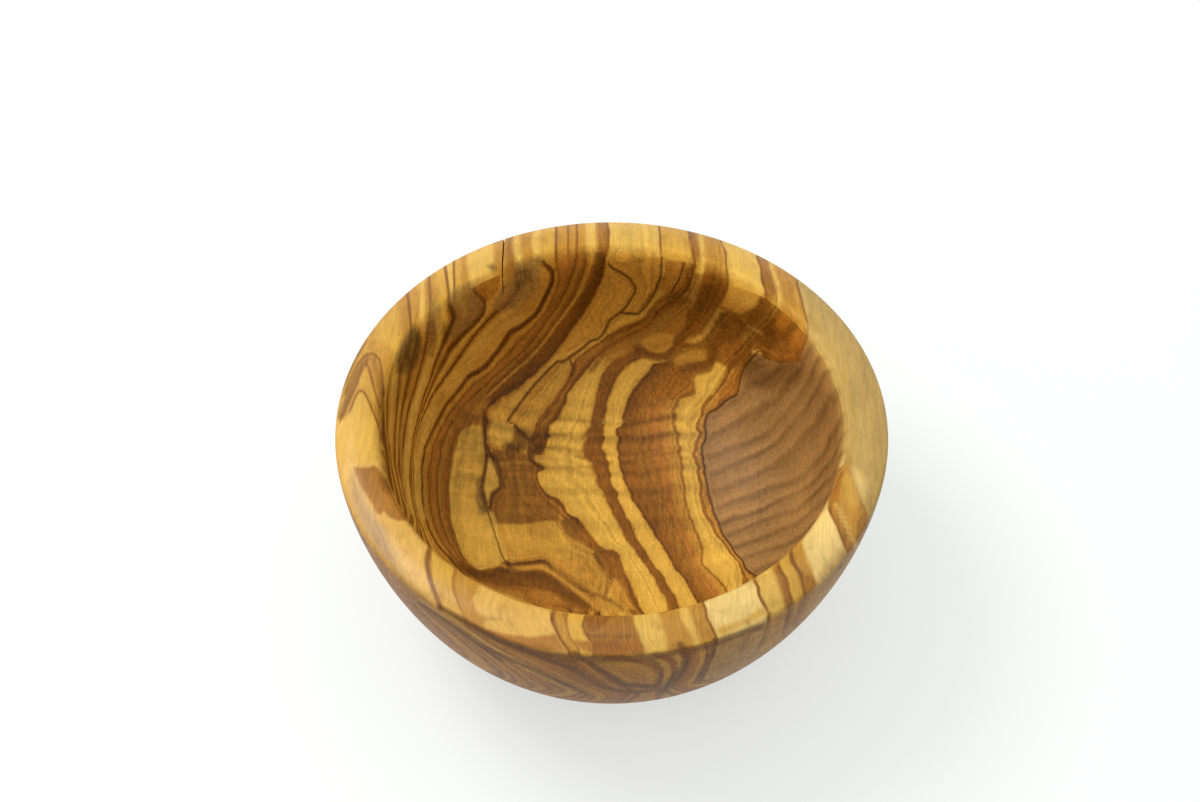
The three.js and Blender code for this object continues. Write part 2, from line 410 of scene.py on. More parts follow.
# Soft strokes, with half their width in pixels, and how far they darken, below nought, or lighten. Most are
# grain and ripples; the strokes on the inner wall at the front and at the grey wood's top are partly darker
# wood and partly painted shade, and the small bright speck near the amber block is a painted highlight
INSIDE_SHADES = """
dark band, top: 5.5: -0.8: 599,246 601,262 598,277 580,305
dark band, middle: 5: -0.3: 580,305 547,349
dark band, low: 4.5: -0.2: 547,349 512,388
beside the dark band: 6: -0.15: 589,255 584,280 553,328 537,349 498,385
eleventh line: 4: -0.4: 577,256 565,290 527,347
second band, top: 4.5: -0.75: 692,248 694,264 687,288 668,302
second band, spread: 5: -0.5: 687,300 660,309 652,317
second band, low: 4: -0.5: 652,317 604,341
beside the hook: 4: -0.5: 661,278 656,290 642,308
right of the lens: 3.5: -0.6: 690,312 687,325 667,358
under the lens: 3: -0.6: 634,348 657,358 670,356
below the dark block: 6: -0.35: 700,305 686,332
fold: 3.5: -0.5: 744,326 738,336 730,342
under the small lens: 3: -0.55: 684,346 700,345 709,338 722,314
under the lower lens: 2.6: -0.4: 684,363 709,364
grey wood, top: 20: -0.5: 754,372 770,378 790,374
front wall: 5: -0.5: 470,571 490,576 500,570 535,575 550,580 580,600
front line: 3.4: -0.55: 506,562 510,565 545,561 585,590 612,601 622,609
front: 3.4: -0.5: 595,555 607,575 608,588 604,599
front wall, light: 5: 0.2: 480,586 520,597
to the grey wood: 3.5: -0.55: 751,340 742,347 728,367
above the amber: 5: -0.35: 801,320 771,350
right of the lower lens: 4: -0.5: 711,344 716,352 711,362 698,368 682,370
brown zone: 5: -0.3: 664,360 640,382 632,395
left wall: 5.5: -0.45: 430,318 433,338 431,354
ripple 1: 3.4: -0.5: 622,428 676,415
ripple 2: 3.2: -0.4: 640,439 678,432
ripple 3: 3.2: -0.45: 622,463 680,451
ripple 4: 4: -0.5: 584,436 592,430 602,430
ripple 5: 3.2: -0.4: 576,456 604,463
ripple 6: 3: -0.25: 556,419 590,422
ripple 7: 3: -0.3: 552,434 586,435
ripple 8: 3: -0.3: 548,448 565,448 582,452
ripple 9: 3: -0.2: 545,468 595,467
light ripple 1: 3: 0.4: 550,427 590,425
light ripple 2: 3.4: 0.5: 604,422 622,421
light ripple 3: 3: 0.35: 536,460 590,463
light streak: 3: 0.3: 702,262 701,275 690,301
light streak, low: 4.5: 0.3: 719,312 706,334 688,343
fine light line 1: 2: 0.25: 746,325 763,334
fine light line 2: 2: 0.2: 736,332 751,343
left wall, gold 1: 3.8: 0.65: 424,378 411,417 405,460 405,480 411,512
brown zone, wide: 20: -0.25: 645,450 660,498
left wall, gold 2: 4.6: 0.55: 436,408 426,427 417,460 418,500 423,517
left wall, gold 3: 4: 0.4: 396,376 390,440
left wall, gold 4: 2.2: 0.25: 407,400 398,448
left wall, gold 5: 5: 0.3: 520,318 503,326 488,340 446,393
claw, left: 9: -0.5: 521,433 522,442 514,448
claw, right: 6: -0.6: 533,441 541,447
grey wood, right: 14: -0.2: 828,400 832,430 826,465 812,500
front, wide: 24: -0.08: 530,542 560,552 590,577
right of the dark block: 9: 0.3: 735,297 750,302
left patch, top: 17: -0.17: 468,434 465,478
left patch 1: 3.4: -0.2: 458,444 482,443
left patch 2: 3.6: -0.25: 453,462 468,460 482,462
left patch 3: 3.6: -0.25: 451,478 466,477 480,480
left patch 4: 3.4: -0.2: 450,494 480,497
left patch, light 1: 3: 0.3: 458,453 482,452
left patch, light 2: 3: 0.3: 452,470 480,471
heart 1: 2.6: -0.3: 498,470 535,471
heart 2: 2.4: -0.25: 503,478 533,479
heart 3: 2.6: -0.25: 500,495 525,494 548,497
heart 4: 2.6: -0.2: 497,507 525,505 555,508
heart, light: 2.6: 0.2: 500,463 530,463
glint: 2.4: 0.9: 754,352 760,353
"""
# Soft strokes on the rim and the outside; the band just below the rim's outer edge at the front is painted
# shade
OUTSIDE_SHADES = """
outside 1: 4: -0.83: 440,607 500,641 576,670
outside 2: 3: -0.68: 420,603 502,661
outside 3: 3: -0.68: 480,645 592,697
outside 4: 3.5: -0.75: 575,653 626,685 655,687
outside 5: 3: -0.6: 578,672 600,686 615,690 635,692 650,690
outside 6: 3.5: -0.68: 640,655 655,662 662,670 655,690
outside 7: 6: -0.75: 680,645 688,656 684,668 662,692
outside 8: 4: -0.75: 714,640 712,652 699,680
outside 9: 4: -0.35: 749,622 748,638 741,650
outside 10: 3: -0.5: 770,614 768,630 762,644
outside 11: 4: -0.5: 788,599 790,614 785,628
outside 12: 5: -0.4: 808,594 795,624
under the bevel: 5: -0.6: 468,624 500,640 530,651 570,659 640,659 700,648 760,627
pores 1: 3: -0.4: 587,634 596,637 607,635
pores 2: 2.8: -0.3: 613,637 631,636
below the pores: 6: -0.25: 596,645 616,645
front bevel, dark: 3: -0.3: 484,618 500,619
arch, left leg: 5: -0.5: 367,357 352,386 341,416
arch, right leg: 4: -0.35: 373,359 378,375 387,442
above the arches: 8: -0.25: 374,333 363,354
wedge, light: 3.2: 0.7: 836,504 856,547
outside, light: 2.6: 0.35: 420,600 530,672
"""

# Patches in the order they are laid: how soft the edge is in pixels, and how far they cover
PATCH_LOOKS = [
    ("plain", 9.0, 1.0),
    ("buff", 14.0, 1.0),
    ("ground", 1.8, 0.85),
    ("tan", 1.6, 0.85),
    ("honey", 1.6, 0.85),
    ("amber", 1.8, 0.8),
    ("rust", 1.6, 0.85),
    ("brown", 1.5, 0.85),
    ("straw", 3.0, 0.85),
    ("gold", 1.6, 0.85),
    ("cream", 4.0, 0.6),
    ("dusk", 5.0, 0.7),
    ("umber", 1.8, 0.52),
    ("olive", 3.0, 0.75),
    ("stain", 2.6, 0.8),
]
# The ground that lies under the other patches is brown
PATCH_TONES = {"ground": "brown"}
# How far away patches and thin lines are still known, in pixels, and the share of a soft stroke that fades
PATCH_REACH = 18.0
STROKE_REACH = 6.0
SHADE_RISE = 0.7
# Lines side by side go into sets in turn, because only one line is known at each vertex of a set
STROKE_SETS = ("first", "second", "third")

# The word for an edge of a segment without a dark line, how far an edge and a dark line fade in pixels, the
# share of the line that is fully dark, and the least width that counts between two edges
NO_LINE = "no line"
SEGMENT_FADE = 2.2
LINE_FADE = 0.9
LINE_CORE = 0.4
LEAST_SEGMENT = 0.5

# The colour of each layer, as levels and tones
BANDS = (
    "-8 honey 3 tan 3.5 brown 4.2 honey 5 straw 5.7 brown 6 umber 6.2 brown 6.5 straw 6.8 tan 7 umber "
    "7.2 tan 7.7 straw 8.2 tan 8.5 umber 8.7 tan 9.2 straw 9.7 tan 10 umber 10.2 tan 10.5 honey "
    "10.8 tan 11 umber 11.2 tan 12 gold 13.2 straw 13.7 tan 14 umber 14.3 brown 15.2 honey 16 tan "
    "16.8 brown 17 umber 17.2 brown 18.2 straw 19 honey 19.7 brown 20 umber 20.3 tan 21 straw "
    "22.5 honey 24.2 honey 24.75 brown 25 umber 25.3 brown 26 honey 26.7 tan 27 brown 27.3 tan "
    "28 amber 28.6 tan 29 bark 29.4 tan 30.2 tan 31 brown 31.75 brown 31.95 umber 32.2 tan 33.5 honey "
    "34.6 tan 35.1 brown 36.8 umber 37.2 tan 38 honey 40 straw 42 honey 44 honey 47 straw 49.6 honey "
    "49.95 brown 50.6 brown 51.5 tan 52.3 brown 52.85 umber 53.15 honey 53.6 straw 55 gold 58 gold "
    "58.6 straw 59 brown 60 brown 61.2 brown 61.8 umber 62.15 honey 62.6 straw 64 gold 65.5 straw "
    "65.9 brown 66.2 umber 66.8 brown 68 brown 69.3 tan 69.5 brown 69.8 tan 71 amber 73.2 honey "
    "73.85 brown 74.1 straw 75.5 gold 76.8 straw 77.05 tan 78.2 brown 78.7 honey 80.2 tan 80.7 umber "
    "81 umber 81.15 plain 130 plain"
)
# The outside on the right, where thin lines cross plain wood
PLAIN_BANDS = (
    "81.15 plain 91.7 plain 92 tan 92.3 straw 96.5 straw 97 tan 97.4 honey 99.6 straw 100 tan 100.4 straw "
    "106 plain 130 plain"
)
STOPS_IN_A_RAMP = 30

# Noise in the wood: its stretch, scale, detail and roughness, the range that is read, and what it becomes
EVEN = (1.0, 1.0, 1.0)
SPECKLES = {
    "wander": (EVEN, 90.0, 2.0, 0.5, (0.0, 1.0), (-2.5 * MM, 2.5 * MM)),
    "slow": (EVEN, 230.0, 2.0, 0.5, (0.0, 1.0), (-0.55, 0.55)),
    "quick": ((1.0, 0.4, 1.0), 1500.0, 3.0, 0.5, (0.0, 1.0), (-0.25, 0.25)),
    "blotch": (EVEN, 210.0, 4.0, 0.6, (0.52, 0.75), (0.0, 0.5)),
    "streaky": ((1.0, 0.15, 0.15), 900.0, 3.0, 0.5, (0.35, 0.6), (0.6, 1.05)),
    "along": ((1.0, 0.08, 0.6), 2600.0, 3.0, 0.5, (0.3, 0.7), (-0.1, 0.09)),
    "fleck": ((1.0, 0.14, 1.0), 1000.0, 2.0, 0.5, (0.3, 0.7), (-0.07, 0.06)),
    "pores": ((1.0, 0.12, 0.5), 3800.0, 1.0, 0.5, (0.66, 0.76), (0.0, -0.22)),
    "grit": (EVEN, 1100.0, 4.0, 0.7, (0.3, 0.7), (-0.12, 0.1)),
    "streaks": ((1.0, 0.16, 1.0), 520.0, 4.0, 0.7, (0.3, 0.7), (-0.14, 0.08)),
    "mottle": (EVEN, 70.0, 3.0, 0.5, (0.3, 0.7), (-0.1, 0.08)),
    "stir": (EVEN, 110.0, 3.0, 0.5, (0.3, 0.7), (-0.14, 0.14)),
    "patchy": ((1.0, 2.0, 1.0), 60.0, 2.0, 0.5, (0.35, 0.65), (0.45, 1.2)),
    "rough": ((1.0, 0.3, 1.0), 900.0, 2.0, 0.5, (0.3, 0.7), (0.34, 0.5)),
}
# How one value becomes another: the range that is read, and what it becomes at the two ends
SPANS = {
    "slow by level": ((20.0, 40.0), (0.45, 1.0)),
    "push by level": ((26.0, 42.0), (0.0, 1.3)),
    "fine by level": ((26.0, 40.0), (0.5, 1.0)),
    "heave by level": ((24.0, 38.0), (0.15, 0.7)),
    "plain by level": ((80.0, 83.0), (0.0, 1.0)),
    "plain colour by level": ((80.9, 81.15), (0.0, 1.0)),
    "heave inside": ((0.0, 1.0), (0.2, 1.0)),
    "dusk inside": ((0.25, 0.85), (0.0, 1.0)),
    "back": ((-1.0 * MM, 1.0 * MM), (0.0, 1.0)),
    "painted lip light towards the back": ((0.0, 45.0 * MM), (0.0, 1.0)),
    "line": ((2.0, 0.3), (0.0, 0.85)),
    "line end": ((4.5, 3.5), (0.0, 1.0)),
    "lighter": ((0.0, 1.0), (0.0, 1.0)),
    "darker": ((0.0, -1.0), (0.0, 1.0)),
    "crack": ((0.0, 0.7), (0.0, 1.0)),
    "fine": ((0.3, 0.7), (-0.14, 0.1)),
    "gain by brightness": ((0.08, 0.5), (1.9, 1.05)),
    "valley": ((0.0, 1.0), (0.0, -0.34)),
    "crest": ((0.2, 1.0), (0.0, 0.16)),
}
# How far drawn edges stray with the layers: pixels a millimetre, and shares for the rim and thin lines
STRAY = 2.4
RIM_STRAY = 0.6
STROKE_STRAY = 0.18
# What is left of the texture in some places, how light the rim is, and how much painted light the top of
# the inner wall gets at the back
PLAIN_FINE = 0.35
GREY_FIBRE = 0.3
RIM_GRIT = 0.35
RIM_GAIN = 0.75
RIM_SHADE = 0.86
PAINTED_LIP_LIGHT = 1.35
# The earthy share of the outside, the fine layers in each level, and how far crests lag behind valleys
EARTH_SHARE = 0.5
FINE_RATE = 1.6
FINE_DETAIL = 3.0
CREST_LAG = 2.4
# The surface: how bumpy it is, and how it shines, with a coat on the polished rim
BUMP_STRENGTH = 0.25
BUMP_DEPTH = 0.05 * MM
SPECULAR = 0.12
COAT = 0.4
COAT_ROUGHNESS = 0.3


# What the tables stand for
def linear(tone):
    """A named tone as a linear colour for a shader's socket."""
    parts = [c / 255 for c in TONES[tone]]
    return [p / 12.92 if p <= 0.04045 else ((p + 0.055) / 1.055) ** 2.4 for p in parts] + [1.0]


def rows(table):
    """The rows of a table: the words before each drawn line, and the line as an array of pixels."""
    found = []
    for row in table.replace("\n    ", " ").strip().split("\n"):
        *words, line = row.split(": ")
        found.append((*words, np.array([pixel.split(",") for pixel in line.split()], float)))
    return found


def tone_stops(bands):
    """A line of levels and tones as pairs."""
    words = bands.split()
    return [(float(level), tone) for level, tone in zip(words[::2], words[1::2])]


def rim_stops(segments):
    """Pairs of a place along the rim and a tone: the segments, and the dark lines between them."""
    before = rows(segments)[0][0]
    stops = []
    for tone, line, edge in rows(segments):
        at = edge[:, 0].mean()
        if line == NO_LINE:
            stops += [(at - SEGMENT_FADE, before), (at + SEGMENT_FADE, tone)]
        else:
            dark, half = line.split()
            core = LINE_CORE * float(half)
            fade = float(half) + LINE_FADE
            stops += [(at - fade, before), (at - core, dark), (at + core, dark), (at + fade, tone)]
        before = tone
    return stops


# Short calls for numbers
def held(values):
    return np.clip(values, 0.0, 1.0)


def running(steps):
    return np.concatenate([[0.0], np.cumsum(steps)])


def lengths(points):
    return np.linalg.norm(np.diff(points, axis=0), axis=1)


def placed(at, run, points):
    """The points at some distances along a line whose points are at the distances in run."""
    return np.column_stack([np.interp(at, run, points[:, k]) for k in (0, 1)])


# The camera
class PhotoCamera:
    """Where the photograph was taken from, and the ray through each of its pixels."""

    def __init__(self, target):
        back = np.array([0.0, -math.cos(CAMERA_ELEVATION), math.sin(CAMERA_ELEVATION)])
        self.place = target + CAMERA_DISTANCE * back
        right = np.array([1.0, 0.0, 0.0])
        up = np.cross(right, -back)
        yaw = Matrix.Rotation(CAMERA_YAW, 3, "Y")
        pitch = Matrix.Rotation(CAMERA_PITCH, 3, "X")
        roll = Matrix.Rotation(CAMERA_ROLL, 3, "Z")
        turn = np.array(roll) @ np.array(pitch) @ np.array(yaw).T
        self.right, self.up, self.forward = turn @ np.array([right, up, -back])
        self.focal = LENS / SENSOR_WIDTH * PHOTO_WIDTH

    def ray(self, pixel):
        across = (pixel[0] - PHOTO_WIDTH / 2) / self.focal
        above = (PHOTO_HEIGHT / 2 - pixel[1]) / self.focal
        return Vector(self.forward + across * self.right + above * self.up).normalized()

    def pixels(self, places):
        """The photograph's pixel for each place."""
        offset = places - self.place
        ahead = offset @ self.forward
        across = PHOTO_WIDTH / 2 + self.focal * (offset @ self.right) / ahead
        below = PHOTO_HEIGHT / 2 - self.focal * (offset @ self.up) / ahead
        return np.column_stack([across, below])

    def add_to_scene(self):
        data = bpy.data.cameras.new("photo_camera")
        data.lens = LENS
        data.sensor_width = SENSOR_WIDTH
        data.clip_start = CAMERA_CLIP
        camera = bpy.data.objects.new("photo_camera", data)
        axes = np.array([self.right, self.up, -self.forward]).T
        camera.matrix_world = Matrix.Translation(self.place) @ Matrix(axes).to_4x4()
        bpy.context.scene.collection.objects.link(camera)
        bpy.context.scene.camera = camera


# The bowl's skin
def cad_section(node):
    """The solid's half section, from the middle of the floor, over the rim, to the middle of the base."""
    cut = {
        (round(v.co.x, 6), round(v.co.z, 6))
        for v in node.data.vertices
        if abs(v.co.y) < TINY and v.co.x > -TINY
    }
    here = max((p for p in cut if p[0] < TINY), key=lambda p: p[1])
    chain = [here]
    left = cut - {here}
    while left:
        here = min(left, key=lambda p: math.dist(p, here))
        chain.append(here)
        left.remove(here)
    return np.array(chain)


def smooth_section(chain):
    """The section as a smooth curve through the solid's points, mirrored at both ends to lie flat there."""
    mirror = np.array([-1.0, 1.0])
    points = np.vstack([chain[1] * mirror, chain, chain[-2] * mirror])
    knots = running(np.sqrt(lengths(points)))
    curve = []
    for i in range(1, len(points) - 2):
        k0, k1, k2, k3 = knots[i - 1 : i + 3]
        p0, p1, p2, p3 = points[i - 1 : i + 3]
        for t in np.linspace(k1, k2, SECTION_STEPS, endpoint=False):
            a1 = ((k1 - t) * p0 + (t - k0) * p1) / (k1 - k0)
            a2 = ((k2 - t) * p1 + (t - k1) * p2) / (k2 - k1)
            a3 = ((k3 - t) * p2 + (t - k2) * p3) / (k3 - k2)
            b1 = ((k2 - t) * a1 + (t - k0) * a2) / (k2 - k0)
            b2 = ((k3 - t) * a2 + (t - k1) * a3) / (k3 - k1)
            curve.append(((k2 - t) * b1 + (t - k1) * b2) / (k2 - k1))
    curve.append(points[-2])
    return np.clip(curve, [0.0, chain[:, 1].min()], chain.max(0))


def ring_places(curve):
    """The section's points with a ring of vertices, closer at the rim, and masks of the bowl's parts."""
    length = lengths(curve)
    height = (curve[1:, 1] + curve[:-1, 1]) / 2
    rim = int(np.argmax(curve[:, 1]))
    step = np.where(np.arange(len(length)) < rim, INSIDE_STEP, OUTSIDE_STEP)
    step[height > curve[rim, 1] - RIM_DEPTH] = RIM_STEP
    step[height < BASE_DEPTH] = BASE_STEP
    run = running(length / step)
    at = np.linspace(0.0, run[-1], int(round(run[-1])) + 1)
    along = running(length)
    ring_along = np.interp(at, run, along)
    below = along[rim] - INNER_EDGE_INSET - ring_along
    outside = held((ring_along - along[int(np.argmax(curve[:, 0]))]) / OUTER_EDGE_SOFTNESS + 0.5)
    masks = {
        "inside": held(below / INNER_EDGE_SOFTNESS + 0.5),
        "outside": outside,
        "polish": held((ring_along - along[rim]) / POLISH_RISE) * (1.0 - outside),
        # The band at the top of the inner wall that the wood lightens as painted light
        "painted_lip_light": held(1.0 - np.where(below > 0, below / LIP_BELOW, -below / LIP_ABOVE)),
    }
    return placed(at, run, curve), masks


def crack_column():
    """The column of vertices nearest to the crack."""
    angle = math.acos(CRACK_ACROSS / CRACK_HEART[0])
    return round(angle / (2 * math.pi) * SEGMENTS)


def cracked(body, turn):
    """Angles and section points of every vertex, one column being sunk along the crack and some drawn in."""
    middle = crack_column()
    turns = np.tile(turn, (len(body), 1))
    points = np.repeat(body[:, None], SEGMENTS, axis=1)
    open_share = held((body[:, 1] - CRACK_LOWEST) / CRACK_FADE)
    drawn_in = held((body[:, 1] - CRACK_LOWEST + CRACK_LEAD) / CRACK_FADE)
    near = np.arange(middle - CRACK_COLUMNS, middle + CRACK_COLUMNS + 1)
    knots = middle + np.array([-CRACK_COLUMNS, -2, -1, 0, 1, 2, CRACK_COLUMNS])
    halves = np.array([-CRACK_SHOULDER, -1.0, 0.0, 1.0, CRACK_SHOULDER])
    for i in np.flatnonzero(drawn_in > 0):
        radius = body[i, 0]
        close = math.acos(CRACK_ACROSS / radius) + halves * CRACK_HALF / radius
        angles = [turn[knots[0]], *close, turn[knots[-1]]]
        turns[i, near] += drawn_in[i] * (np.interp(near, knots, angles) - turn[near])
        points[i, middle] += open_share[i] * CRACK_DEPTH * (CRACK_HEART - body[i])
    # The crack's middle column is later painted near black, as painted shade in the narrow gap
    dark = np.zeros(turns.shape)
    dark[:, middle] = open_share
    return turns, points, dark.ravel()


def turned_skin(rings):
    """The vertices as a grid of rings and in a row, their faces, and how far each is in the crack."""
    body = rings[1:-1]
    turns, points, dark = cracked(body, np.arange(SEGMENTS) * 2 * math.pi / SEGMENTS)
    radius, height = points[:, :, 0], points[:, :, 1]
    grid = np.stack([radius * np.cos(turns), radius * np.sin(turns), height], axis=2)
    last = (len(body) - 1) * SEGMENTS
    floor = last + SEGMENTS
    base = floor + 1
    pairs = [(j, (j + 1) % SEGMENTS) for j in range(SEGMENTS)]
    faces = [(floor, j, k) for j, k in pairs]
    for a in range(0, last, SEGMENTS):
        b = a + SEGMENTS
        faces.extend((a + j, b + j, b + k, a + k) for j, k in pairs)
    faces.extend((base, last + k, last + j) for j, k in pairs)
    ends = np.array([[0.0, 0.0, rings[0, 1]], [0.0, 0.0, rings[-1, 1]]])
    return grid, np.vstack([grid.reshape(-1, 3), ends]), faces, np.append(dark, [0.0, 0.0])


def make_bowl(vertices, faces):
    """The bowl, smooth apart from the crack's edges."""
    mesh = bpy.data.meshes.new("turned_bowl")
    mesh.from_pydata(vertices.tolist(), [], faces)
    mesh.update()
    mesh.shade_smooth()
    ends = np.empty(len(mesh.edges) * 2, np.int32)
    mesh.edges.foreach_get("vertices", ends)
    ends = ends.reshape(-1, 2)
    columns = ends % SEGMENTS
    along = np.isin(columns, crack_column() + np.array([-1, 0, 1])).all(1)
    along &= columns[:, 0] == columns[:, 1]
    along &= (vertices[ends, 2] > CRACK_LOWEST).all(1)
    sharp = mesh.attributes.new("sharp_edge", "BOOLEAN", "EDGE")
    sharp.data.foreach_set("value", along)
    bowl = bpy.data.objects.new("turned_bowl", mesh)
    bpy.context.scene.collection.objects.link(bowl)
    return bowl


def on_vertices(mask):
    """A value for each ring as one for each vertex, the floor's and the base's middles last."""
    return np.concatenate([np.repeat(mask[1:-1], SEGMENTS), mask[[0, -1]]])


def set_attribute(mesh, name, values):
    attribute = mesh.attributes.new(name, "FLOAT", "POINT")
    attribute.data.foreach_set("value", np.asarray(values, np.float32))


# The figure
def on_skin(camera, tree, points):
    """Places on the skin along a drawn line, as far as it goes on without a break."""
    run = running(lengths(points))
    at = np.linspace(0.0, run[-1], max(2, int(run[-1] / LINE_STEP) + 1))
    hits = [tree.ray_cast(Vector(camera.place), camera.ray(p))[0] for p in placed(at, run, points)]
    hits = [h for h in hits if h is not None]
    for i in range(1, len(hits)):
        if (hits[i] - hits[i - 1]).length > LINE_BREAK:
            return hits[:i]
    return hits


def known_places(camera, tree, table):
    """Places along a table's lines on the skin, and the level of each."""
    places, levels = [], []
    for *_, level, line in rows(table):
        hits = on_skin(camera, tree, line)
        places.extend(hits)
        levels.extend([float(level)] * len(hits))
    return np.array(places), np.array(levels)


class LayerField:
    """A smooth field through levels known at some places."""

    def __init__(self, places, levels):
        self.places = np.array(places)
        count = len(self.places)
        drift = np.column_stack([np.ones(count), self.places])
        terms = drift.shape[1]
        system = np.zeros((count + terms, count + terms))
        system[:count, :count] = self.kernel(self.places) - FIELD_SMOOTHING * np.eye(count)
        system[:count, count:] = drift
        system[count:, :count] = drift.T
        solved = np.linalg.solve(system, np.concatenate([levels, np.zeros(terms)]))
        self.weights = solved[:count]
        self.drift = solved[count:]

    def kernel(self, points):
        squares = np.square(points).sum(1)[:, None] + np.square(self.places).sum(1)
        apart = np.maximum(squares - 2 * points @ self.places.T, 0.0)
        return np.sqrt(apart + KERNEL_SOFTNESS**2)

    def at(self, points):
        parts = []
        for start in range(0, len(points), FIELD_CHUNK):
            part = points[start : start + FIELD_CHUNK]
            parts.append(self.kernel(part) @ self.weights + self.drift[0] + part @ self.drift[1:])
        return np.concatenate(parts)


def growth_field(camera, tree):
    """The field through the grain lines, and through points midway between lines that run side by side."""
    places, levels = known_places(camera, tree, GRAIN)
    gaps = np.linalg.norm(places[:, None] - places, axis=2)
    gaps[levels[:, None] >= levels] = np.inf
    nearest = gaps.argmin(1)
    gap = gaps.min(1)
    beside = (gap > MIDWAY_LEAST) & (gap < MIDWAY_MOST)
    middle = (places + places[nearest])[beside] / 2
    between = (levels + levels[nearest])[beside] / 2
    return LayerField(np.vstack([places, middle]), np.concatenate([levels, between]))


def layer_pitch(grid, growth):
    """How fast the layers follow one another along the skin, in levels a millimetre."""
    levels = growth[: grid.shape[0] * SEGMENTS].reshape(grid.shape[:2])
    down = np.gradient(levels, axis=0) / np.maximum(np.linalg.norm(np.gradient(grid, axis=0), axis=2), TINY)
    ahead = np.roll(grid, -1, axis=1) - np.roll(grid, 1, axis=1)
    change = np.roll(levels, -1, axis=1) - np.roll(levels, 1, axis=1)
    round_about = change / np.maximum(np.linalg.norm(ahead, axis=2), TINY)
    pitch = np.minimum(np.hypot(down, round_about) * MM, MOST_PITCH)
    return np.concatenate([pitch.ravel(), [pitch[0].mean(), pitch[-1].mean()]])


# Marks drawn over the layers
def patch_distance(pixels, corners):
    """How far each pixel is outside a polygon, inside being negative, up to PATCH_REACH."""
    distance = np.full(len(pixels), PATCH_REACH)
    near = np.all((pixels > corners.min(0) - PATCH_REACH) & (pixels < corners.max(0) + PATCH_REACH), axis=1)
    points = pixels[near]
    least = np.full(len(points), np.inf)
    within = np.zeros(len(points), bool)
    for a, b in zip(corners, np.roll(corners, -1, axis=0)):
        side = b - a
        share = held((points - a) @ side / (side @ side))
        least = np.minimum(least, np.linalg.norm(points - a - share[:, None] * side, axis=1))
        crosses = (a[1] > points[:, 1]) != (b[1] > points[:, 1])
        rise = side[1] if side[1] else 1.0
        within ^= crosses & (points[:, 0] < a[0] + (points[:, 1] - a[1]) * side[0] / rise)
    distance[near] = np.minimum(np.where(within, -least, least), PATCH_REACH)
    return distance


def stroke_distance(pixels, half_width, points, best, side):
    """Lowers best, the distance to the nearest stroke, and keeps the signed share of its width in side."""
    for a, b in zip(points[:-1], points[1:]):
        way = b - a
        offset = pixels - a
        apart = offset - held(offset @ way / (way @ way))[:, None] * way
        far = np.linalg.norm(apart, axis=1)
        turned = np.sign(way[0] * apart[:, 1] - way[1] * apart[:, 0])
        closer = far < best
        best[closer] = far[closer]
        side[closer] = (turned * far)[closer] / half_width


def shade_strength(pixels, strokes):
    """How far soft strokes darken, below nought, or lighten each pixel."""
    total = np.zeros(len(pixels))
    for _, half, amount, line in rows(strokes):
        half_width = float(half)
        far = np.full(len(pixels), half_width)
        stroke_distance(pixels, half_width, line, far, np.zeros(len(pixels)))
        share = held((1.0 - far / half_width) / SHADE_RISE)
        mark = float(amount) * share * share * (3 - 2 * share)
        total = np.where(np.abs(mark) > np.abs(total), mark, total)
    return total


def marks(camera, vertices, normals, inside):
    """Distances to each tone's patches and to thin lines, and soft strokes, at every vertex that is seen."""
    pixels = camera.pixels(vertices)
    seen = ((camera.place - vertices) * normals).sum(1) > 0
    inner = inside & seen
    outer = ~inside & seen
    found = {}
    for patch, _, _ in PATCH_LOOKS:
        distance = np.full(len(vertices), PATCH_REACH)
        for where, patches in ((inner, INSIDE_PATCHES), (outer, RIM_PATCHES), (seen, EDGE_PATCHES)):
            for polygon in [line for tone, _, line in rows(patches) if tone == patch]:
                distance[where] = np.minimum(distance[where], patch_distance(pixels[where], polygon))
        found[patch] = distance
    for turn, name in enumerate(STROKE_SETS):
        near = np.full(len(vertices), STROKE_REACH)
        side = np.full(len(vertices), STROKE_REACH)
        for where, strokes in ((inner, INSIDE_STROKES), (outer, RIM_STROKES)):
            best, share = near[where], side[where]
            for _, half_width, line in rows(strokes)[turn :: len(STROKE_SETS)]:
                stroke_distance(pixels[where], float(half_width), line, best, share)
            near[where], side[where] = best, share
        found["near_" + name] = near
        found["side_" + name] = side
    shade = np.zeros(len(vertices))
    shade[inner] = shade_strength(pixels[inner], INSIDE_SHADES)
    shade[outer] = shade_strength(pixels[outer], OUTSIDE_SHADES)
    found["shade"] = shade
    return found


def rim_run(pixels, segments):
    """Each pixel's place along the rim, as if the edges of its segments ran straight across it."""
    edges = [edge for *_, edge in rows(segments)]
    at = [edge[:, 0].mean() for edge in edges]
    across = [np.interp(pixels[:, 1], edge[:, 1], edge[:, 0]) for edge in edges]
    run = at[0] + pixels[:, 0] - across[0]
    for k in range(len(edges) - 1):
        share = (pixels[:, 0] - across[k]) / np.maximum(across[k + 1] - across[k], LEAST_SEGMENT)
        run = np.where(share > 0, at[k] + share * (at[k + 1] - at[k]), run)
    return np.where(pixels[:, 0] > across[-1], at[-1] + pixels[:, 0] - across[-1], run)


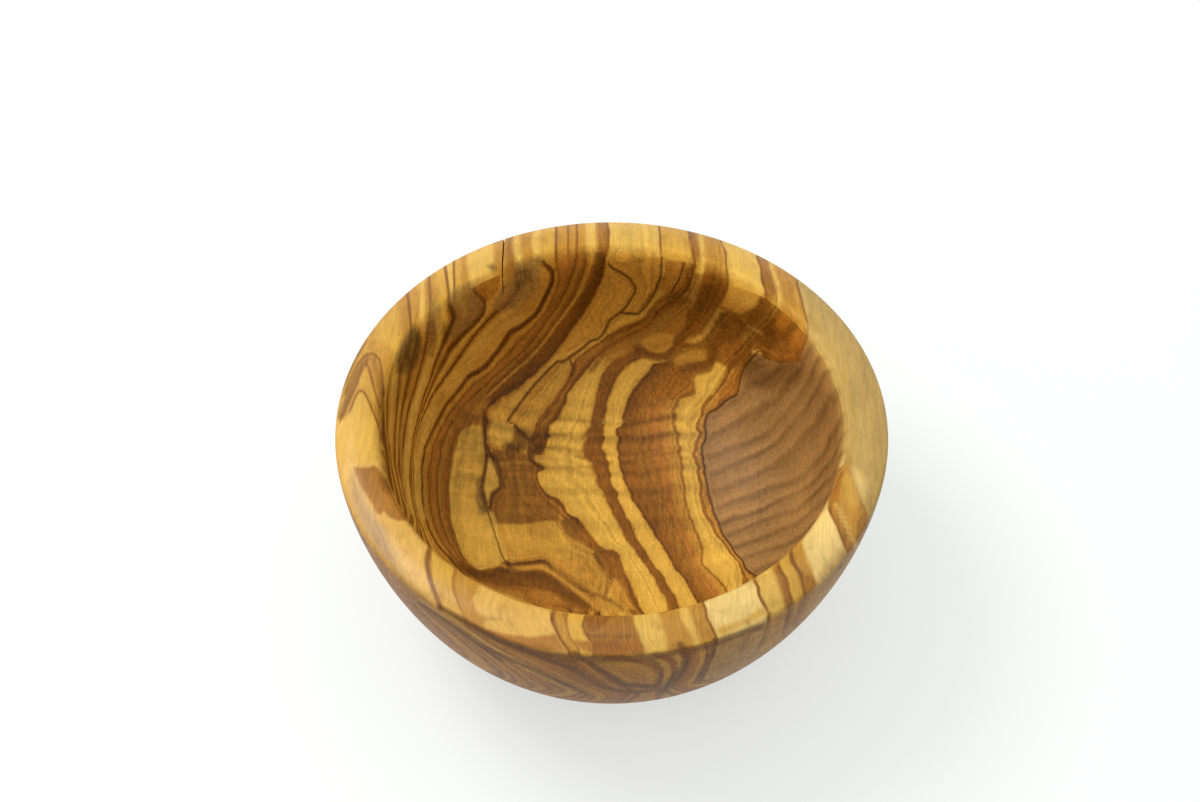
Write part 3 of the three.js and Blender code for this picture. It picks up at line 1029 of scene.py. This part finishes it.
# Materials
class Nodes:
    """Short calls for building the nodes of a material or a world."""

    def __init__(self, owner):
        owner.use_nodes = True
        self.tree = owner.node_tree
        self.tree.nodes.clear()

    def add(self, kind, inputs=(), **settings):
        node = self.tree.nodes.new(kind)
        for key, value in settings.items():
            setattr(node, key, value)
        for key, value in dict(inputs).items():
            if isinstance(value, bpy.types.NodeSocket):
                self.tree.links.new(value, node.inputs[key])
            else:
                node.inputs[key].default_value = value
        return node

    def math(self, operation, a, b=0.0, clamp=False):
        return self.add("ShaderNodeMath", {0: a, 1: b}, operation=operation, use_clamp=clamp).outputs[0]

    def plus(self, total, *others):
        for other in others:
            total = self.math("ADD", total, other)
        return total

    def times(self, total, *others):
        for other in others:
            total = self.math("MULTIPLY", total, other)
        return total

    def minus(self, a, b, clamp=False):
        return self.math("SUBTRACT", a, b, clamp)

    def attribute(self, name):
        return self.add("ShaderNodeAttribute", attribute_name=name).outputs["Fac"]

    def blend(self, factor, a, b):
        return self.add("ShaderNodeMix", {0: factor, 6: a, 7: b}, data_type="RGBA").outputs[2]

    def between(self, value, low, high, out_low=0.0, out_high=1.0):
        inputs = {"Value": value, "From Min": low, "From Max": high, "To Min": out_low, "To Max": out_high}
        return self.add("ShaderNodeMapRange", inputs).outputs[0]

    def span(self, name, value):
        read, becomes = SPANS[name]
        return self.between(value, *read, *becomes)

    def fade(self, mask, left):
        """One where a mask is nought, and what is left where it is one."""
        return self.between(mask, 0.0, 1.0, 1.0, left)

    def speckle(self, name, place):
        stretch, scale, detail, roughness, read, becomes = SPECKLES[name]
        vector = self.add("ShaderNodeMapping", {"Vector": place, "Scale": stretch}, vector_type="POINT")
        inputs = {"Vector": vector.outputs[0], "Scale": scale, "Detail": detail, "Roughness": roughness}
        noise = self.add("ShaderNodeTexNoise", inputs).outputs["Fac"]
        return self.between(noise, *read, *becomes)

    def ramp(self, value, stops, interpolation="LINEAR"):
        """A colour for each value, from stops that are pairs of a value and a colour."""
        low, high = stops[0][0], stops[-1][0]
        node = self.add("ShaderNodeValToRGB", {"Fac": self.between(value, low, high)})
        node.color_ramp.interpolation = interpolation
        elements = node.color_ramp.elements
        while len(elements) < len(stops):
            elements.new(0.5)
        for element, (at, colour) in zip(elements, stops):
            element.position = (at - low) / (high - low)
            element.color = colour
        return node.outputs[0]

    def bands(self, level, stops):
        """A tone for each level, by as many ramps as the stops need."""
        stops = [(at, linear(tone)) for at, tone in stops]
        colour = self.ramp(level, stops[:STOPS_IN_A_RAMP])
        step = STOPS_IN_A_RAMP - 1
        for start in range(step, len(stops) - 1, step):
            part = stops[start : start + STOPS_IN_A_RAMP]
            colour = self.blend(self.math("GREATER_THAN", level, part[0][0]), colour, self.ramp(level, part))
        return colour

    def seen(self):
        """One for what is looked at, straight, in a gloss or through glass, and nought for other light."""
        path = self.add("ShaderNodeLightPath").outputs
        straight = self.math("MAXIMUM", path["Is Camera Ray"], path["Is Glossy Ray"])
        return self.math("MAXIMUM", straight, path["Is Transmission Ray"])


class FiguredWood(Nodes):
    """The bowl's wood: layers, what lies over them, and the texture and ripples that shade them."""

    def __init__(self, material):
        super().__init__(material)
        self.place = self.add("ShaderNodeTexCoord").outputs["Object"]
        self.depth = self.add("ShaderNodeSeparateXYZ", {0: self.place}).outputs["Y"]
        self.growth = self.attribute("growth")
        self.inside = self.attribute("inside")
        self.outside = self.attribute("outside")
        self.rim = self.minus(self.minus(1.0, self.inside), self.outside, clamp=True)
        self.plain = self.span("plain by level", self.growth)
        self.grey = self.times(self.plain, self.inside)

        # Ripples across the grain, which also push the layers to and fro
        stops = [(at * MM, (light, light, light, 1.0)) for at, light in RIPPLES]
        ripple = self.ramp(self.plus(self.depth, self.noise("wander")), stops, "EASE")
        self.ripple = self.minus(ripple, 0.5)

        # Small wanderings of the layers in millimetres, and of drawn edges in pixels
        slow = self.times(self.noise("slow"), self.span("slow by level", self.growth))
        wandering = self.plus(slow, self.noise("quick"))
        push = self.plus(wandering, self.times(self.ripple, self.span("push by level", self.growth)))
        self.level = self.plus(self.growth, self.times(self.attribute("pitch"), push))
        self.stray = self.times(wandering, STRAY)

    def noise(self, name):
        return self.speckle(name, self.place)

    def layers(self):
        """The layers, with plain wood on the right that is greyer inside and has thin lines outside."""
        lined = self.bands(self.level, tone_stops(PLAIN_BANDS))
        plain = self.blend(self.span("dusk inside", self.inside), lined, linear("dusk"))
        colour = self.bands(self.level, tone_stops(BANDS))
        colour = self.blend(self.span("plain colour by level", self.level), colour, plain)
        return self.blend(self.times(self.outside, EARTH_SHARE), colour, linear("earth"))

    def rim_strips(self):
        """The segments across the rim."""
        runs = []
        for name, segments in RIM_RUNS.items():
            run = self.plus(self.attribute(name), self.times(self.stray, RIM_STRAY))
            runs.append(self.bands(run, rim_stops(segments)))
        strips = self.blend(self.span("back", self.depth), runs[1], runs[0])
        return self.blend(self.noise("blotch"), strips, linear("tan"))

    def patches_over(self, colour):
        """Patches and soft strokes over a colour, with edges that wander as the layers do."""
        streaky = self.noise("streaky")
        streaked = {tone for tone, *_ in rows(EDGE_PATCHES)}
        for patch, softness, strength in PATCH_LOOKS:
            edge = self.plus(self.attribute(patch), self.stray)
            cover = self.between(edge, softness, -softness, 0.0, strength)
            if patch in streaked:
                cover = self.math("MULTIPLY", cover, streaky, clamp=True)
            colour = self.blend(cover, colour, linear(PATCH_TONES.get(patch, patch)))
        # Soft strokes lighten towards pale and darken towards umber: mostly grain and ripples, but also
        # painted shade on the front inner wall, the grey wood's top and below the rim's outer edge, and a
        # painted highlight
        shade = self.attribute("shade")
        colour = self.blend(self.span("lighter", shade), colour, linear("pale"))
        return self.blend(self.span("darker", shade), colour, linear("umber"))

    def lines_over(self, colour):
        """Thin dark lines over a colour, and the crack painted near black as painted shade."""
        dark = self.blend(self.inside, linear("brown"), linear("umber"))
        for name in STROKE_SETS:
            side = self.plus(self.attribute("side_" + name), self.times(self.stray, STROKE_STRAY))
            line = self.span("line", self.math("ABSOLUTE", side))
            ended = self.span("line end", self.attribute("near_" + name))
            colour = self.blend(self.times(line, ended), colour, dark)
        # The crack is painted near black: painted shade in the narrow gap
        return self.blend(self.span("crack", self.attribute("crack")), colour, linear("pitch"))

    def texture(self, colour):
        """How far fine layers, fibres, pores, grit and mottling lighten and darken a colour."""
        inputs = {"W": self.times(self.level, FINE_RATE), "Scale": 1.0, "Detail": FINE_DETAIL}
        fine = self.add("ShaderNodeTexNoise", inputs, noise_dimensions="1D").outputs["Fac"]
        fine = self.times(self.span("fine", fine), self.fade(self.plain, PLAIN_FINE))
        fine = self.times(fine, self.span("fine by level", self.growth))
        fibre = self.plus(self.noise("along"), self.noise("fleck"), self.noise("pores"))
        fibre = self.times(fibre, self.fade(self.grey, GREY_FIBRE))
        grit = self.times(self.noise("grit"), self.fade(self.rim, RIM_GRIT))
        streaks = self.times(self.noise("streaks"), self.minus(self.plain, self.grey))
        texture = self.plus(fine, fibre, grit, streaks, self.noise("mottle"))
        brightness = self.add("ShaderNodeRGBToBW", {0: colour}).outputs[0]
        gain = self.times(self.span("gain by brightness", brightness), self.fade(self.rim, RIM_GAIN))
        return self.times(texture, gain)

    def waves(self):
        """How far ripples lighten and darken the wood, across the grain and in the grey wood."""
        heave = self.times(self.span("heave by level", self.growth), self.span("heave inside", self.inside))
        across = self.times(self.ripple, heave, self.minus(1.0, self.plain))
        phase = self.times(self.plus(self.attribute("grey_ripple"), self.noise("stir")), 2 * math.pi)
        valley = self.span("valley", self.math("COSINE", phase))
        crest = self.span("crest", self.math("COSINE", self.plus(phase, CREST_LAG)))
        swell = self.times(self.plus(valley, crest), self.noise("patchy"))
        return self.plus(across, self.times(swell, self.grey))

    def build(self):
        colour = self.blend(self.rim, self.layers(), self.rim_strips())
        colour = self.lines_over(self.patches_over(colour))
        texture = self.texture(colour)
        light = self.times(self.plus(1.0, texture), self.plus(1.0, self.waves()))
        # Painted light: the top of the inner wall is made lighter towards the back, standing in for light
        # falling over the rounded inner edge
        painted_lip_light = self.times(self.attribute("painted_lip_light"), self.span("painted lip light towards the back", self.depth))
        light = self.times(light, self.fade(self.rim, RIM_SHADE), self.fade(painted_lip_light, PAINTED_LIP_LIGHT))
        lit = self.add("ShaderNodeVectorMath", {0: colour, "Scale": light}, operation="SCALE")
        inputs = {"Strength": BUMP_STRENGTH, "Distance": BUMP_DEPTH, "Height": texture}
        bump = self.add("ShaderNodeBump", inputs)
        inputs = {
            "Base Color": lit.outputs[0],
            "Roughness": self.noise("rough"),
            "Normal": bump.outputs[0],
            "Specular IOR Level": SPECULAR,
            "Coat Weight": self.times(self.attribute("polish"), COAT),
            "Coat Roughness": COAT_ROUGHNESS,
        }
        shader = self.add("ShaderNodeBsdfPrincipled", inputs)
        self.add("ShaderNodeOutputMaterial", {"Surface": shader.outputs[0]})


def figured_wood():
    material = bpy.data.materials.new("figured_wood")
    FiguredWood(material).build()
    return material


# Floor and light
def make_floor():
    """A floor that is near white where it is seen, keeps the shadow and throws back less light."""
    bpy.ops.mesh.primitive_plane_add(size=FLOOR_SIZE)
    floor = bpy.context.object
    floor.name = "studio_floor"
    material = bpy.data.materials.new("studio_floor")
    n = Nodes(material)
    seen = n.seen()
    lit = n.add("ShaderNodeBsdfDiffuse", {"Color": n.blend(seen, FLOOR_BOUNCE, FLOOR_SEEN)})
    white = n.add("ShaderNodeEmission", {"Color": FLOOR_SEEN, "Strength": 1.0})
    inputs = {0: n.times(seen, FLOOR_GLOW), 1: lit.outputs[0], 2: white.outputs[0]}
    mixed = n.add("ShaderNodeMixShader", inputs)
    n.add("ShaderNodeOutputMaterial", {"Surface": mixed.outputs[0]})
    floor.data.materials.append(material)


def make_dome():
    """Soft light from all round, brightest from one way, that looks like the floor where it is seen."""
    world = bpy.data.worlds.new("studio")
    n = Nodes(world)
    seen = n.seen()
    way = n.add("ShaderNodeTexCoord").outputs["Generated"]
    towards = n.add("ShaderNodeVectorMath", {0: way, 1: DOME_WAY}, operation="DOT_PRODUCT")
    light = n.between(towards.outputs["Value"], DOME_FROM, 1.0, DOME_DARK, DOME_BRIGHT)
    inputs = {"Color": n.blend(seen, WHITE, FLOOR_SEEN), "Strength": n.between(seen, 0.0, 1.0, light, 1.0)}
    background = n.add("ShaderNodeBackground", inputs)
    n.add("ShaderNodeOutputWorld", {"Surface": background.outputs[0]})
    bpy.context.scene.world = world


def make_key():
    data = bpy.data.lights.new("key", "AREA")
    data.shape = "DISK"
    data.size = KEY_SIZE
    data.energy = KEY_POWER
    key = bpy.data.objects.new("key", data)
    key.location = KEY_PLACE
    key.rotation_mode = "QUATERNION"
    key.rotation_quaternion = (KEY_TARGET - KEY_PLACE).to_track_quat("-Z", "Y")
    bpy.context.scene.collection.objects.link(key)


# The scene
_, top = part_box("bowl")
camera = PhotoCamera(np.array([0.0, 0.0, top.z]))
camera.add_to_scene()

rings, ring_masks = ring_places(smooth_section(cad_section(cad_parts["bowl"])))
grid, vertices, faces, crack = turned_skin(rings)
bowl = make_bowl(vertices, faces)
tree = BVHTree.FromPolygons(vertices.tolist(), faces)
growth = growth_field(camera, tree).at(vertices)
grey_ripples = LayerField(*known_places(camera, tree, GREY_RIPPLES))
normals = np.empty(len(vertices) * 3, np.float32)
bowl.data.vertices.foreach_get("normal", normals)
inside = on_vertices(ring_masks["inside"]) > 0.5

attributes = {
    "crack": crack,
    "growth": growth,
    "pitch": layer_pitch(grid, growth),
    "grey_ripple": grey_ripples.at(vertices),
}
attributes.update({name: on_vertices(mask) for name, mask in ring_masks.items()})
attributes.update(marks(camera, vertices, normals.reshape(-1, 3), inside))
attributes.update({name: rim_run(camera.pixels(vertices), run) for name, run in RIM_RUNS.items()})
for name, values in attributes.items():
    set_attribute(bowl.data, name, values)
bowl.data.materials.append(figured_wood())

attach(bowl, "root")
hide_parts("bowl")

make_floor()
make_dome()
make_key()
bpy.context.scene.view_settings.view_transform = "Standard"
